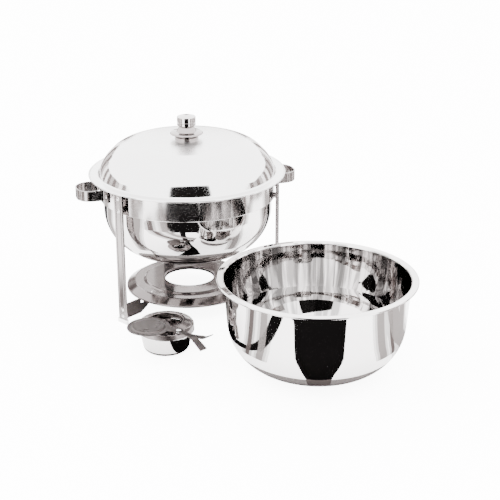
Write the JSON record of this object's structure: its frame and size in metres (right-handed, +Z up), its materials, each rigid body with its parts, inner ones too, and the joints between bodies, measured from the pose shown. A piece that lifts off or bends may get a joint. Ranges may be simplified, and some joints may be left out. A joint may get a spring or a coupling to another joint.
{
  "type": "soup kettle",
  "caption": "Round stainless soup kettle: domed lid with knob and water pan in a legged stand with loop handles, food bowl standing beside it and fuel burner with swivel cover in front.",
  "frame": {"origin": "centre of the whole set's footprint, on the table top the stand, bowl and burner stand on", "axes": "+Z up; the two loop handles lie along X; the stand's rear leg is on the +Y side of the kettle, and the bowl and the burner stand on its -Y side"},
  "size_m": [0.479, 0.6606, 0.34],
  "materials": {
    "stand_steel": "polished stainless steel",
    "handle_steel": "polished stainless steel strap",
    "rivet_steel": "plain stainless rivets",
    "foot_plastic": "pale grey plastic",
    "pan_steel": "mirror-polished stainless steel",
    "lid_steel": "mirror-polished stainless steel",
    "knob_steel": "turned and polished stainless steel",
    "screw_steel": "plain steel screw and washer",
    "bowl_steel": "mirror-polished stainless steel",
    "burner_steel": "polished stainless steel",
    "cover_steel": "satin stainless sheet"
  },
  "bodies": {
    "stand": {"collar_band": "stand_steel", "leg_rear": "stand_steel", "leg_front_left": "stand_steel", "leg_front_right": "stand_steel", "leg_spacers": "stand_steel", "shelf_ring": "stand_steel", "shelf_brackets": "stand_steel", "handle_left": "handle_steel", "handle_right": "handle_steel", "handle_rivets": "rivet_steel", "leg_rivets": "rivet_steel", "bracket_rivets": "rivet_steel", "shelf_rivets": "rivet_steel", "foot_pads": "foot_plastic"},
    "water_pan": {"water_pan": "pan_steel"},
    "lid": {"lid_shell": "lid_steel", "knob_base": "knob_steel", "knob_disc": "knob_steel", "knob_cap": "knob_steel", "knob_washer": "screw_steel", "knob_screw": "screw_steel"},
    "food_bowl": {"food_bowl": "bowl_steel"},
    "burner": {"burner_cup": "burner_steel", "burner_cap": "burner_steel", "burner_grip": "cover_steel", "pivot_rivet": "rivet_steel", "pivot_washer": "rivet_steel"},
    "snuffer_cover": {"snuffer_cover": "cover_steel"}
  },
  "joints": [
    {"name": "water_pan_lift", "type": "slide", "parent": "stand", "child": "water_pan", "axis": [0, 0, 1], "range_m": [0, 0.25]},
    {"name": "lid_lift", "type": "slide", "parent": "water_pan", "child": "lid", "axis": [0, 0, 1], "range_m": [0, 0.3]},
    {"name": "food_bowl_lift", "type": "slide", "parent": "stand", "child": "food_bowl", "axis": [0, 0, 1], "range_m": [0, 0.3]},
    {"name": "burner_lift", "type": "slide", "parent": "stand", "child": "burner", "axis": [0, 0, 1], "range_m": [0, 0.12]},
    {"name": "cover_swivel", "type": "hinge", "parent": "burner", "child": "snuffer_cover", "pos_m": [-0.12461, -0.09192, 0.0534], "axis": [0, 0, 1], "range_deg": [-47, 2]}
  ]
}
